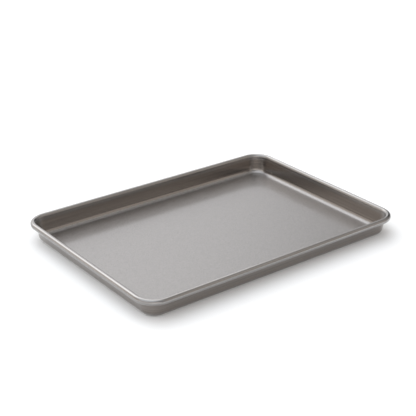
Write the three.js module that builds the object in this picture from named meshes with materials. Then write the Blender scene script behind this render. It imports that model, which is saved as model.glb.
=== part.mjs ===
// Sheet pan: one sheet-steel pressing with a flat floor, flared walls and round corners, and a rim
// that is rolled outward round a steel wire. Millimetres, +Z up, +X along the long side, with the
// origin at the centre of the underside.
import * as THREE from 'three';

// Driving dimensions, in millimetres unless the comment says otherwise
const PAN_LENGTH = 457;       // along X, over the rolled rim
const PAN_WIDTH = 330;        // along Y, over the rolled rim
const PAN_HEIGHT = 31;        // from the table to the top of the rim
const SHEET = 0.8;            // thickness of the steel sheet
const WALL_FLARE = 9.5;       // lean of the walls out from upright, in degrees
const BASE_FILLET = 8;        // inside radius between floor and wall
const FLOOR_CORNER = 13;      // plan radius of the flat floor's corners
const WIRE_DIAMETER = 6.2;    // rim wire
const WIRE_CLEARANCE = 0.3;   // between the wire and the sheet rolled round it
const CURL_SLIT = 0.5;        // between the rolled edge and the outside of the wall
const WIRE_END_GAP = 2;       // between the two ends of the wire, at the middle of the back side

// Fineness of the facets
const FACET_ANGLE = 15;       // largest turn between neighbouring facets of the section, in degrees
const CORNER_STEPS = 10;      // facets round each corner in plan
const WIRE_SIDES = 16;

// The section lies in a plane square to the rim. Its first coordinate is the inset, measured inward
// from the rim's outermost line, and its second is the height.
const flare = THREE.MathUtils.degToRad(WALL_FLARE);
const wireRadius = WIRE_DIAMETER / 2;
const curlInside = wireRadius + WIRE_CLEARANCE;
const curlOutside = curlInside + SHEET;
const filletOutside = BASE_FILLET + SHEET;
const curlCentre = new THREE.Vector2(curlOutside, PAN_HEIGHT - curlOutside);

// The wall's inner face touches the curl's outside and the base fillet's inside, which sets how far
// the flat floor lies inside the rim.
const filletDrop = curlCentre.y - filletOutside;
const filletInset =
  curlCentre.x + (curlOutside + BASE_FILLET + filletDrop * Math.sin(flare)) / Math.cos(flare);
const filletCentre = new THREE.Vector2(filletInset, filletOutside);
const rimCorner = FLOOR_CORNER + filletInset;

// Directions in the section, in degrees from inward towards up. The curl stops where its edge comes
// within the slit's width of the wall.
const curlOpening = THREE.MathUtils.radToDeg(Math.acos((curlInside - CURL_SLIT) / curlOutside));
const curlStart = WALL_FLARE;
const curlEnd = WALL_FLARE + 360 - curlOpening;
const floorDirection = -90;
const wallDirection = WALL_FLARE - 180;

// A point of the section at one direction from a centre
function sectionPoint(centre, radius, direction) {
  const angle = THREE.MathUtils.degToRad(direction);
  return new THREE.Vector2(centre.x + radius * Math.cos(angle), centre.y + radius * Math.sin(angle));
}

// An arc of the section, with its facets meeting at whole multiples of the facet angle, so that the
// curl keeps its full width and height
function sectionArc(centre, radius, from, to) {
  const low = Math.min(from, to);
  const high = Math.max(from, to);
  const directions = [low];
  for (let facet = Math.floor(low / FACET_ANGLE) + 1; facet * FACET_ANGLE < high; facet += 1) {
    directions.push(facet * FACET_ANGLE);
  }
  directions.push(high);
  if (to < from) directions.reverse();
  return directions.map((direction) => sectionPoint(centre, radius, direction));
}

// From the edge of the floor up the inside of the wall, round the outside of the curl to its edge,
// and back along the other face of the sheet to the edge of the underside
function panSection() {
  return [
    ...sectionArc(filletCentre, BASE_FILLET, floorDirection, wallDirection),
    ...sectionArc(curlCentre, curlOutside, curlStart, curlEnd),
    ...sectionArc(curlCentre, curlInside, curlEnd, curlStart),
    ...sectionArc(filletCentre, filletOutside, wallDirection, floorDirection),
  ];
}

// The rounded rectangle that lies at one point of the section, anticlockwise from the back side
function outline(inset, height) {
  const x = PAN_LENGTH / 2 - rimCorner;
  const y = PAN_WIDTH / 2 - rimCorner;
  const radius = rimCorner - inset;
  const cornerCentres = [[-x, y], [-x, -y], [x, -y], [x, y]];
  return cornerCentres.flatMap(([centreX, centreY], corner) => {
    const start = (corner + 1) * Math.PI / 2;
    const arc = new THREE.EllipseCurve(centreX, centreY, radius, radius, start, start + Math.PI / 2);
    return arc.getPoints(CORNER_STEPS).map((point) => new THREE.Vector3(point.x, point.y, height));
  });
}

// A closed body: a skin over closed rings of points taken in order, with a flat cap on each end ring
function skinOver(rings) {
  const around = rings[0].length;
  const last = (rings.length - 1) * around;
  const triangles = [];
  for (let ring = 0; ring < rings.length - 1; ring += 1) {
    for (let point = 0; point < around; point += 1) {
      const next = (point + 1) % around;
      const a = ring * around + point;
      const b = ring * around + next;
      triangles.push(a, b + around, b, a, a + around, b + around);
    }
  }
  for (let point = 1; point < around - 1; point += 1) {
    triangles.push(0, point, point + 1);
    triangles.push(last, last + point + 1, last + point);
  }
  const geometry = new THREE.BufferGeometry().setFromPoints(rings.flat());
  geometry.setIndex(triangles);
  geometry.computeVertexNormals();
  return geometry;
}

// The pressing: one ring for each point of the section, from the floor's edge to the underside's
function panBody() {
  const rings = panSection().map((point) => outline(point.x, point.y));
  const coatedSteel = new THREE.MeshStandardMaterial({ color: 0x9a9794, roughness: 0.42, metalness: 0.75 });
  const mesh = new THREE.Mesh(skinOver(rings), coatedSteel);
  mesh.name = 'pan_body';
  return mesh;
}

// The wire: a hoop that follows the middle of the curl, open at its two butted ends
function rimWire() {
  const paths = [];
  for (let side = 0; side < WIRE_SIDES; side += 1) {
    const point = sectionPoint(curlCentre, wireRadius, -side * 360 / WIRE_SIDES);
    const backSide = PAN_WIDTH / 2 - point.x;
    const start = new THREE.Vector3(-WIRE_END_GAP / 2, backSide, point.y);
    const end = new THREE.Vector3(WIRE_END_GAP / 2, backSide, point.y);
    paths.push([start, ...outline(point.x, point.y), end]);
  }
  const rings = paths[0].map((_, step) => paths.map((path) => path[step]));
  const bareSteel = new THREE.MeshStandardMaterial({ color: 0xb4b3b0, roughness: 0.4, metalness: 1 });
  const mesh = new THREE.Mesh(skinOver(rings), bareSteel);
  mesh.name = 'rim_wire';
  return mesh;
}

const sheetPan = new THREE.Group();
sheetPan.add(panBody(), rimWire());

export default sheetPan;
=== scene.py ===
import math

import bmesh
import bpy
from mathutils import Matrix, Vector


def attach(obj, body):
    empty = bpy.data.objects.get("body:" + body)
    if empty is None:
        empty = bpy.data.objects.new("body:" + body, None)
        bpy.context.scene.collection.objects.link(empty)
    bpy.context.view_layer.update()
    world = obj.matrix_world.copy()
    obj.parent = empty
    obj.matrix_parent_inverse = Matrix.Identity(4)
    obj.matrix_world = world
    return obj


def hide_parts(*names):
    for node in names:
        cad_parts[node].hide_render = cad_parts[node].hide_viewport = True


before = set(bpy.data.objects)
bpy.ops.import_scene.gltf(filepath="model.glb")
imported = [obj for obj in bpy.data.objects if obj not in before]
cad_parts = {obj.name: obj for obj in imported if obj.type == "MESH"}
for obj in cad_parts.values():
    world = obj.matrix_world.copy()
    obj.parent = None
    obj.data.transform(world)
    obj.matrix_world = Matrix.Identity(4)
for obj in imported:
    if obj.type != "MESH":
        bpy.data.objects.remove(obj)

scene = bpy.context.scene
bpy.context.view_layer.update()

# Pan body: one blank of thin steel sheet, pressed to a flat floor, a rounded base edge and flared
# walls, and then rolled outward and under along its edge to make the rim. It is sprayed all over
# with a grey metallic nonstick coating.
mm = 0.001
rim_length = 457 * mm
rim_width = 330 * mm
pan_height = 31 * mm
sheet = 0.8 * mm
wall_flare = 9.5  # degrees from upright
base_fillet = 8 * mm
floor_corner = 13 * mm
wire_radius = 3.1 * mm
wire_clearance = 0.3 * mm
curl_slit = 0.5 * mm
section_facet = 6  # degrees of arc in one facet
corner_facets = 24  # in one quarter turn
crease_angle = math.radians(40)

flare = math.radians(wall_flare)
curl_inside = wire_radius + wire_clearance
curl_outside = curl_inside + sheet
fillet_outside = base_fillet + sheet
curl_centre = Vector((curl_outside, pan_height - curl_outside))
fillet_drop = curl_centre.y - fillet_outside
fillet_reach = (curl_outside + base_fillet + fillet_drop * math.sin(flare)) / math.cos(flare)
fillet_centre = Vector((curl_centre.x + fillet_reach, fillet_outside))
rim_corner = floor_corner + fillet_centre.x
curl_opening = math.degrees(math.acos((curl_inside - curl_slit) / curl_outside))
curl_end = wall_flare + 360 - curl_opening


def section_arc(centre, radius, start, end):
    """Points (inset from the rim's outermost line, height) along an arc of the pan's section."""
    steps = math.ceil(abs(end - start) / section_facet)
    angles = [math.radians(start + (end - start) * step / steps) for step in range(steps + 1)]
    return [centre + radius * Vector((math.cos(angle), math.sin(angle))) for angle in angles]


pan_section = (
    section_arc(fillet_centre, base_fillet, -90, wall_flare - 180)
    + section_arc(curl_centre, curl_outside, wall_flare, curl_end)
    + section_arc(curl_centre, curl_inside, curl_end, wall_flare)
    + section_arc(fillet_centre, fillet_outside, wall_flare - 180, -90)
)


def add_node(tree, kind, settings=(), values=(), links=()):
    """A new node with its settings, its unlinked input values and the outputs that feed it."""
    node = tree.nodes.new(kind)
    for name, value in dict(settings).items():
        setattr(node, name, value)
    for name, value in dict(values).items():
        node.inputs[name].default_value = value
    for name, output in dict(links).items():
        tree.links.new(output, node.inputs[name])
    return node


def srgb(text):
    """A linear colour from an sRGB hex value."""
    parts = [int(text[i:i + 2], 16) / 255 for i in (1, 3, 5)]
    linear = [p / 12.92 if p <= 0.04045 else ((p + 0.055) / 1.055) ** 2.4 for p in parts]
    return (*linear, 1.0)


def polyline_object(name, points):
    """An object whose mesh is one line of edges, the input of a node tree."""
    edges = [(i, i + 1) for i in range(len(points) - 1)]
    mesh = bpy.data.meshes.new(name)
    mesh.from_pydata(points, edges, [])
    thing = bpy.data.objects.new(name, mesh)
    scene.collection.objects.link(thing)
    return thing


def run_tree(thing, tree, inputs):
    """Sets the tree's named inputs, and swaps the object's line for the plain mesh that it makes."""
    modifier = thing.modifiers.new(tree.name, "NODES")
    modifier.node_group = tree
    for item in tree.interface.items_tree:
        if item.in_out == "INPUT" and item.name in inputs:
            modifier[item.identifier] = inputs[item.name]
    ready = thing.evaluated_get(bpy.context.evaluated_depsgraph_get())
    mesh = bpy.data.meshes.new_from_object(ready)
    thing.modifiers.clear()
    thing.data = mesh
    return mesh


def tree_sockets(tree, inputs):
    """The tree's named inputs and its one mesh output."""
    for name, kind in inputs:
        tree.interface.new_socket(name, in_out="INPUT", socket_type=kind)
    tree.interface.new_socket("Mesh", in_out="OUTPUT", socket_type="NodeSocketGeometry")


def pressing_tree():
    """Sweeps the section round a rectangle with round corners."""
    tree = bpy.data.node_groups.new("pan_pressing", "GeometryNodeTree")
    tree_sockets(tree, (
        ("Section", "NodeSocketGeometry"),
        ("Rim length", "NodeSocketFloat"),
        ("Rim width", "NodeSocketFloat"),
        ("Corner radius", "NodeSocketFloat"),
        ("Corner facets", "NodeSocketInt"),
        ("Finish", "NodeSocketMaterial"),
    ))
    given = add_node(tree, "NodeGroupInput").outputs
    rectangle = add_node(tree, "GeometryNodeCurvePrimitiveQuadrilateral", links={
        "Width": given["Rim length"], "Height": given["Rim width"]})
    rounded = add_node(tree, "GeometryNodeFilletCurve", {"mode": "POLY"}, links={
        "Curve": rectangle.outputs["Curve"], "Count": given["Corner facets"],
        "Radius": given["Corner radius"]})
    level = add_node(tree, "GeometryNodeSetCurveNormal", {"mode": "Z_UP"}, links={
        "Curve": rounded.outputs["Curve"]})
    section = add_node(tree, "GeometryNodeMeshToCurve", links={"Mesh": given["Section"]})
    skin = add_node(tree, "GeometryNodeCurveToMesh", links={
        "Curve": level.outputs["Curve"], "Profile Curve": section.outputs["Curve"]})
    real = add_node(tree, "GeometryNodeRealizeInstances", links={"Geometry": skin.outputs["Mesh"]})
    finish = add_node(tree, "GeometryNodeSetMaterial", links={
        "Geometry": real.outputs["Geometry"], "Material": given["Finish"]})
    add_node(tree, "NodeGroupOutput", links={"Mesh": finish.outputs["Geometry"]})
    return tree


def metallic_nonstick():
    """Metallic nonstick coating, sprayed under a clear top coat. It gives the floor a soft grey sheen of
    clear and hazy grains. On the walls it draws reflections out in streaks, and the walls carry painted
    shade: a darker, browner tint that stands in for the dim, warm reflections they show."""
    grain_size = 1.3 * mm  # the real grain is finer than the picture can show
    streak_width = 1.6 * mm
    streak_length = 220 * mm
    dark_grey = srgb("#575453")
    pale_grey = srgb("#aaa7a5")
    # painted shade: a darker, browner tint laid over the walls between floor and rim, for their dim,
    # warm reflections
    wall_painted_shade_tint = srgb("#ece4dd")
    # heights on the pan between which the floor's grain gives way to the wall's streaks, and between
    # which the painted shade on the walls fades in above the floor and fades out below the rim
    grain_end, streak_start = 1.2 * mm, 5 * mm
    painted_shade_rise_from, painted_shade_full_from = sheet, 8 * mm
    painted_shade_full_to, painted_shade_gone_at = 21 * mm, 25 * mm
    material = bpy.data.materials.new("metallic_nonstick_coating")
    material.use_nodes = True
    tree = material.node_tree
    shader = tree.nodes["Principled BSDF"]
    place = add_node(tree, "ShaderNodeTexCoord").outputs["Object"]
    height = add_node(tree, "ShaderNodeSeparateXYZ", links={"Vector": place}).outputs["Z"]
    burnish = add_node(tree, "ShaderNodeMapRange", {"interpolation_type": "SMOOTHSTEP"}, {
        "From Min": grain_end, "From Max": streak_start}, {"Value": height})
    grain = add_node(tree, "ShaderNodeTexNoise", values={
        "Scale": 1 / grain_size, "Detail": 2.0, "Roughness": 0.6}, links={"Vector": place})
    drawn_out = add_node(tree, "ShaderNodeMapping", {"vector_type": "POINT"}, {
        "Scale": (1 / streak_length, 1 / streak_length, 1 / streak_width)}, {"Vector": place})
    streak = add_node(tree, "ShaderNodeTexNoise", values={"Scale": 1.0, "Detail": 3.0}, links={
        "Vector": drawn_out.outputs["Vector"]})
    floor_gloss = add_node(tree, "ShaderNodeMapRange", values={
        "From Min": 0.4, "From Max": 0.6, "To Min": 0.33, "To Max": 0.50}, links={
        "Value": grain.outputs["Fac"]})
    wall_gloss = add_node(tree, "ShaderNodeMapRange", values={
        "From Min": 0.3, "From Max": 0.7, "To Min": 0.15, "To Max": 0.24}, links={
        "Value": streak.outputs["Fac"]})
    gloss = add_node(tree, "ShaderNodeMix", {"data_type": "FLOAT"}, links={
        "Factor": burnish.outputs["Result"], "A": floor_gloss.outputs["Result"],
        "B": wall_gloss.outputs["Result"]})
    mottle = add_node(tree, "ShaderNodeMix", {"data_type": "FLOAT"}, links={
        "Factor": burnish.outputs["Result"], "A": grain.outputs["Fac"], "B": streak.outputs["Fac"]})
    grey = add_node(tree, "ShaderNodeMix", {"data_type": "RGBA"}, links={
        "Factor": mottle.outputs["Result"]})
    grey.inputs["A"].default_value = dark_grey
    grey.inputs["B"].default_value = pale_grey
    above_floor = add_node(tree, "ShaderNodeMapRange", {"interpolation_type": "SMOOTHSTEP"}, {
        "From Min": painted_shade_rise_from, "From Max": painted_shade_full_from}, {"Value": height})
    below_rim = add_node(tree, "ShaderNodeMapRange", {"interpolation_type": "SMOOTHSTEP"}, {
        "From Min": painted_shade_full_to, "From Max": painted_shade_gone_at, "To Min": 1.0, "To Max": 0.0}, {
        "Value": height})
    # painted shade on the walls: the tint is full from 8 mm up to 21 mm, with none on the floor or the
    # rim
    wall_painted_shade = add_node(tree, "ShaderNodeMath", {"operation": "MULTIPLY"}, links={
        0: above_floor.outputs["Result"], 1: below_rim.outputs["Result"]})
    shade = add_node(tree, "ShaderNodeMix", {"data_type": "RGBA", "blend_type": "MULTIPLY"}, links={
        "Factor": wall_painted_shade.outputs["Value"], "A": grey.outputs["Result"]})
    shade.inputs["B"].default_value = wall_painted_shade_tint
    tree.links.new(shade.outputs["Result"], shader.inputs["Base Color"])
    tree.links.new(gloss.outputs["Result"], shader.inputs["Roughness"])
    shader.inputs["Metallic"].default_value = 1.0
    shader.inputs["Coat Weight"].default_value = 1.0
    shader.inputs["Coat Roughness"].default_value = 0.13
    return material


pan_body = polyline_object("pan_body_pressing", [(-p.x, -p.y, 0) for p in pan_section])
pan_mesh = run_tree(pan_body, pressing_tree(), {
    "Rim length": rim_length,
    "Rim width": rim_width,
    "Corner radius": rim_corner,
    "Corner facets": corner_facets,
    "Finish": metallic_nonstick(),
})
work = bmesh.new()
work.from_mesh(pan_mesh)
bmesh.ops.holes_fill(work, edges=[edge for edge in work.edges if edge.is_boundary], sides=0)
bmesh.ops.recalc_face_normals(work, faces=work.faces)
for face in work.faces:
    face.smooth = True
work.to_mesh(pan_mesh)
work.free()
pan_mesh.set_sharp_from_angle(angle=crease_angle)
even_shading = pan_body.modifiers.new("even_shading", "WEIGHTED_NORMAL")
even_shading.keep_sharp = True
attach(pan_body, "root")
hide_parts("pan_body")

# Rim wire: a hoop of drawn steel wire laid in the fold of the rim before it is rolled shut, so that
# only its underside shows, through the slit of the roll. Its ends butt at the middle of the back.
wire_gap = 2 * mm
wire_sides = 24


def rim_path(inset, height):
    """The round-cornered line at one inset, open at the middle of the back side."""
    radius = rim_corner - inset
    x = rim_length / 2 - rim_corner
    y = rim_width / 2 - rim_corner
    points = [Vector((-wire_gap / 2, rim_width / 2 - inset, height))]
    for quarter, (centre_x, centre_y) in enumerate(((-x, y), (-x, -y), (x, -y), (x, y)), start=1):
        for facet in range(corner_facets + 1):
            angle = (quarter + facet / corner_facets) * math.pi / 2
            points.append(Vector((
                centre_x + radius * math.cos(angle), centre_y + radius * math.sin(angle), height)))
    points.append(Vector((wire_gap / 2, rim_width / 2 - inset, height)))
    return points


def hoop_tree():
    """Sweeps a round section along a line, with its ends closed."""
    tree = bpy.data.node_groups.new("wire_hoop", "GeometryNodeTree")
    tree_sockets(tree, (
        ("Line", "NodeSocketGeometry"),
        ("Wire radius", "NodeSocketFloat"),
        ("Wire sides", "NodeSocketInt"),
        ("Finish", "NodeSocketMaterial"),
    ))
    given = add_node(tree, "NodeGroupInput").outputs
    line = add_node(tree, "GeometryNodeMeshToCurve", links={"Mesh": given["Line"]})
    level = add_node(tree, "GeometryNodeSetCurveNormal", {"mode": "Z_UP"}, links={
        "Curve": line.outputs["Curve"]})
    ring = add_node(tree, "GeometryNodeCurvePrimitiveCircle", links={
        "Resolution": given["Wire sides"], "Radius": given["Wire radius"]})
    skin = add_node(tree, "GeometryNodeCurveToMesh", values={"Fill Caps": True}, links={
        "Curve": level.outputs["Curve"], "Profile Curve": ring.outputs["Curve"]})
    real = add_node(tree, "GeometryNodeRealizeInstances", links={"Geometry": skin.outputs["Mesh"]})
    finish = add_node(tree, "GeometryNodeSetMaterial", links={
        "Geometry": real.outputs["Geometry"], "Material": given["Finish"]})
    add_node(tree, "NodeGroupOutput", links={"Mesh": finish.outputs["Geometry"]})
    return tree


def drawn_steel_wire():
    """Drawn low-carbon steel wire: a bright grey metal, dulled unevenly by handling."""
    dull_patch = 12 * mm
    material = bpy.data.materials.new("drawn_steel_wire")
    material.use_nodes = True
    tree = material.node_tree
    shader = tree.nodes["Principled BSDF"]
    place = add_node(tree, "ShaderNodeTexCoord").outputs["Object"]
    patch = add_node(tree, "ShaderNodeTexNoise", values={
        "Scale": 1 / dull_patch, "Detail": 4.0}, links={"Vector": place})
    tone = add_node(tree, "ShaderNodeMix", {"data_type": "RGBA"}, links={
        "Factor": patch.outputs["Fac"]})
    tone.inputs["A"].default_value = srgb("#a9a8a5")
    tone.inputs["B"].default_value = srgb("#c3c2bf")
    gloss = add_node(tree, "ShaderNodeMapRange", values={
        "From Min": 0.3, "From Max": 0.7, "To Min": 0.32, "To Max": 0.46},
        links={"Value": patch.outputs["Fac"]})
    tree.links.new(tone.outputs["Result"], shader.inputs["Base Color"])
    tree.links.new(gloss.outputs["Result"], shader.inputs["Roughness"])
    shader.inputs["Metallic"].default_value = 1.0
    return material


rim_wire = polyline_object("rim_wire_hoop", rim_path(curl_centre.x, curl_centre.y))
wire_mesh = run_tree(rim_wire, hoop_tree(), {
    "Wire radius": wire_radius,
    "Wire sides": wire_sides,
    "Finish": drawn_steel_wire(),
})
for face in wire_mesh.polygons:
    face.use_smooth = True
wire_mesh.set_sharp_from_angle(angle=crease_angle)
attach(rim_wire, "root")
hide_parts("rim_wire")

# Table: a plain white surface, large enough to fill the view, that takes the pan's soft shadow. It is
# lifted a little nearer to white where the eye or the pan's metal sees it.
table_size = 16.0
table_lift = 0.05
table_mesh = bpy.data.meshes.new("white_table")
half = table_size / 2
table_mesh.from_pydata(
    [(-half, -half, 0), (half, -half, 0), (half, half, 0), (-half, half, 0)], [], [(0, 1, 2, 3)])
table = bpy.data.objects.new("white_table", table_mesh)
scene.collection.objects.link(table)
table_white = bpy.data.materials.new("white_table_top")
table_white.use_nodes = True
table_tree = table_white.node_tree
table_tree.nodes.clear()
matt = add_node(table_tree, "ShaderNodeBsdfDiffuse", values={"Color": srgb("#f3f3f3")})
path = add_node(table_tree, "ShaderNodeLightPath").outputs
seen = add_node(table_tree, "ShaderNodeMath", {"operation": "MAXIMUM"}, links={
    0: path["Is Camera Ray"], 1: path["Is Glossy Ray"]})
seen = add_node(table_tree, "ShaderNodeMath", {"operation": "MAXIMUM"}, links={
    0: seen.outputs[0], 1: path["Is Transmission Ray"]})
lift = add_node(table_tree, "ShaderNodeMath", {"operation": "MULTIPLY"}, {1: table_lift}, {
    0: seen.outputs[0]})
glow = add_node(table_tree, "ShaderNodeEmission", links={"Strength": lift.outputs[0]})
both = add_node(table_tree, "ShaderNodeAddShader", links={0: matt.outputs[0], 1: glow.outputs[0]})
add_node(table_tree, "ShaderNodeOutputMaterial", links={"Surface": both.outputs[0]})
table_mesh.materials.append(table_white)

# Light: a pale studio all round, dark on the right of the pan and a little dim in front of it, with a
# large bright diffuser high up behind it. Each area is a round patch with a soft edge, laid over the
# ones before it.
sky = bpy.data.worlds.new("studio")
scene.world = sky
sky.use_nodes = True
sky_tree = sky.node_tree
sky_tree.nodes.clear()
way = add_node(sky_tree, "ShaderNodeTexCoord").outputs["Generated"]
glow_colour = add_node(sky_tree, "ShaderNodeRGB").outputs["Color"]
glow_colour.default_value = srgb("#f2f0ee")
studio_areas = (
    # what it is, turn from +X, rise, half width and half width of its soft edge in degrees, level, tint
    ("dark right side", 13, 33, 13, 29, 0.12, "#ffffff"),
    ("low window behind on the left", 144, 18, 30, 10, 1.70, "#fffaf5"),
    ("dim front", 266, 17, 42, 10, 0.80, "#ffffff"),
    ("high diffuser behind", 85, 54, 28, 14, 3.30, "#ffffff"),
    ("ceiling", 159, 70, 33, 16, 1.83, "#f5faff"),
    ("high front", 264, 40, 19, 10, 0.57, "#ffffff"),
    ("screen before the window", 141, 24, 17, 11, 1.00, "#fff7ef"),
    ("high right side", 0, 48, 24, 14, 0.53, "#fffaf6"),
    ("dark panel behind on the right", 38, 22, 13, 11, 0.03, "#ffffff"),
    ("pale wall behind", 63, 24, 13, 11, 1.36, "#fdfdff"),
    ("front right", 308, 25, 18, 12, 0.76, "#fff5eb"),
    ("low left side", 190, 10, 24, 12, 1.10, "#fffcfa"),
    ("low front left", 240, 6, 20, 10, 1.56, "#fffaf6"),
    ("bright panel on the right", 45, 46, 11, 8, 1.84, "#ffffff"),
    ("pale panel in front on the right", 322, 42, 11, 8, 0.83, "#fffaf4"),
    ("pale strip low behind", 66, 7, 9, 6, 1.05, "#ffffff"),
    ("plain wall behind on the left", 103, 14, 12, 9, 1.27, "#ffffff"),
)
for name, turn, rise, reach, edge, level, tint in studio_areas:
    turn, rise = math.radians(turn), math.radians(rise)
    middle = Vector((
        math.cos(rise) * math.cos(turn), math.cos(rise) * math.sin(turn), math.sin(rise)))
    facing = add_node(sky_tree, "ShaderNodeVectorMath", {"operation": "DOT_PRODUCT"}, {
        1: middle}, {0: way})
    share = add_node(sky_tree, "ShaderNodeMapRange", {"interpolation_type": "SMOOTHSTEP"}, {
        "From Min": math.cos(math.radians(reach + edge)),
        "From Max": math.cos(math.radians(max(reach - edge, 0)))}, {"Value": facing.outputs["Value"]})
    mixed = add_node(sky_tree, "ShaderNodeMix", {"data_type": "RGBA"}, links={
        "Factor": share.outputs["Result"]})
    sky_tree.links.new(glow_colour, mixed.inputs["A"])
    mixed.inputs["B"].default_value = [level * part for part in srgb(tint)]
    mixed.label = name
    glow_colour = mixed.outputs["Result"]
dome = add_node(sky_tree, "ShaderNodeBackground", links={"Color": glow_colour})
add_node(sky_tree, "ShaderNodeOutputWorld", links={"Surface": dome.outputs[0]})

# Camera: a long lens from the front left corner, looking down on the pan.
view_turn = math.radians(-37.28)
view_rise = math.radians(24.46)
view_roll = math.radians(0.04)
view_distance = 1586.0 * mm
view_across = -5.99 * mm
view_upward = 40.38 * mm
to_camera = Vector((
    math.sin(view_turn) * math.cos(view_rise),
    -math.cos(view_turn) * math.cos(view_rise),
    math.sin(view_rise),
))
across = Vector((0, 0, 1)).cross(to_camera).normalized()
upward = to_camera.cross(across)
place = to_camera * view_distance + across * view_across + upward * view_upward
tilted_across = across * math.cos(view_roll) + upward * math.sin(view_roll)
tilted_up = upward * math.cos(view_roll) - across * math.sin(view_roll)
lens = bpy.data.cameras.new("view_from_front_left")
lens.sensor_width = 36
lens.lens = 91.37
lens.clip_end = 100
camera = bpy.data.objects.new("view_from_front_left", lens)
camera.matrix_world = Matrix((
    (tilted_across.x, tilted_up.x, to_camera.x, place.x),
    (tilted_across.y, tilted_up.y, to_camera.y, place.y),
    (tilted_across.z, tilted_up.z, to_camera.z, place.z),
    (0, 0, 0, 1),
))
scene.collection.objects.link(camera)
scene.camera = camera
scene.view_settings.view_transform = "Standard"
